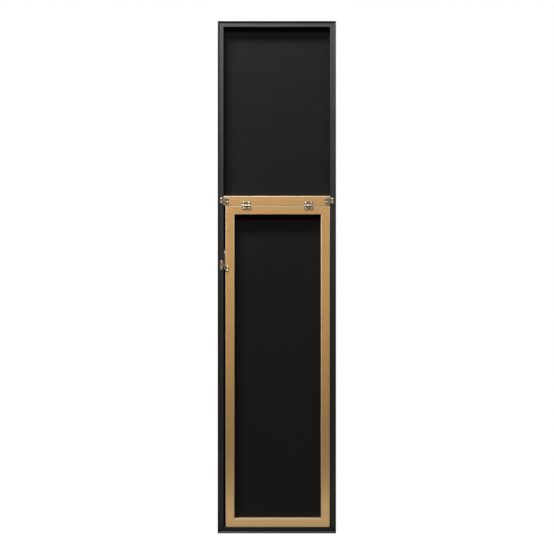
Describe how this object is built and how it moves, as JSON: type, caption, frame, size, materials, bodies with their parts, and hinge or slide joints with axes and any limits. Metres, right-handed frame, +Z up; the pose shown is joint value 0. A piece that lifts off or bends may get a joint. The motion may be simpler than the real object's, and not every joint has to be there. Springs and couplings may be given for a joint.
{
  "type": "easel-back cheval mirror",
  "caption": "Tall narrow floor mirror in a black mitred frame with a gold easel leg hinged to a cross rail at the back and held by a small folding stay.",
  "frame": {"origin": "middle of the frame's bottom face, where it stands on the floor, half way through the frame's depth", "axes": "+Z up; the glass faces -Y and the leg swings out toward +Y; +X is to the right facing the glass"},
  "size_m": [0.352, 0.0369, 1.524],
  "materials": {
    "black_lacquer": "satin black lacquer on wood moulding",
    "black_board": "matt black board",
    "black_steel": "blackened steel",
    "mirror_glass": "silvered float glass",
    "gold_lacquer": "satin metallic gold lacquer on wood",
    "nail_steel": "bare steel",
    "nickel_steel": "bright nickel plate"
  },
  "bodies": {
    "mirror": {"frame_left_stile": "black_lacquer", "frame_right_stile": "black_lacquer", "frame_top_rail": "black_lacquer", "frame_bottom_rail": "black_lacquer", "frame_corner_nails": "nail_steel", "mirror_glass": "mirror_glass", "back_panel": "black_board", "panel_points": "black_steel", "cross_rail": "gold_lacquer", "joining_plate_left": "nickel_steel", "joining_plate_right": "nickel_steel", "joining_plate_screws": "nickel_steel", "hinge_left_fixed_leaf": "nickel_steel", "hinge_left_pin": "nickel_steel", "hinge_right_fixed_leaf": "nickel_steel", "hinge_right_pin": "nickel_steel", "hinge_fixed_screws": "nickel_steel", "stay_frame_bracket": "nickel_steel", "stay_frame_screws": "nickel_steel", "stay_frame_rivet": "nickel_steel"},
    "leg": {"leg_left_stile": "gold_lacquer", "leg_right_stile": "gold_lacquer", "leg_top_rail": "gold_lacquer", "leg_bottom_rail": "gold_lacquer", "leg_corner_nails": "nail_steel", "hinge_left_moving_leaf": "nickel_steel", "hinge_right_moving_leaf": "nickel_steel", "hinge_moving_screws": "nickel_steel", "stay_leg_bracket": "nickel_steel", "stay_leg_screws": "nickel_steel", "stay_leg_rivet_stub": "nickel_steel"},
    "frame_arm": {"stay_frame_arm": "nickel_steel", "stay_elbow_rivet": "nickel_steel"},
    "leg_arm": {"stay_leg_arm": "nickel_steel", "stay_leg_rivet_head": "nickel_steel"}
  },
  "joints": [
    {"name": "leg_swing", "type": "hinge", "parent": "mirror", "child": "leg", "pos_m": [0, 0.0172, 0.9752], "axis": [1, 0, 0], "range_deg": [0, 20]},
    {"name": "stay_frame_pivot", "type": "hinge", "parent": "mirror", "child": "frame_arm", "pos_m": [0.1565, 0.00985, 0.798], "axis": [1, 0, 0], "range_deg": [-45.74, 0]},
    {"name": "stay_elbow", "type": "hinge", "parent": "frame_arm", "child": "leg_arm", "pos_m": [0.1555, 0.00985, 0.8345], "axis": [1, 0, 0], "range_deg": [0, 100.06]}
  ],
  "couplings": [
    {"joint": "stay_frame_pivot", "follows": "leg_swing", "ratio": -2.2868},
    {"joint": "stay_elbow", "follows": "leg_swing", "ratio": 5.0023}
  ]
}
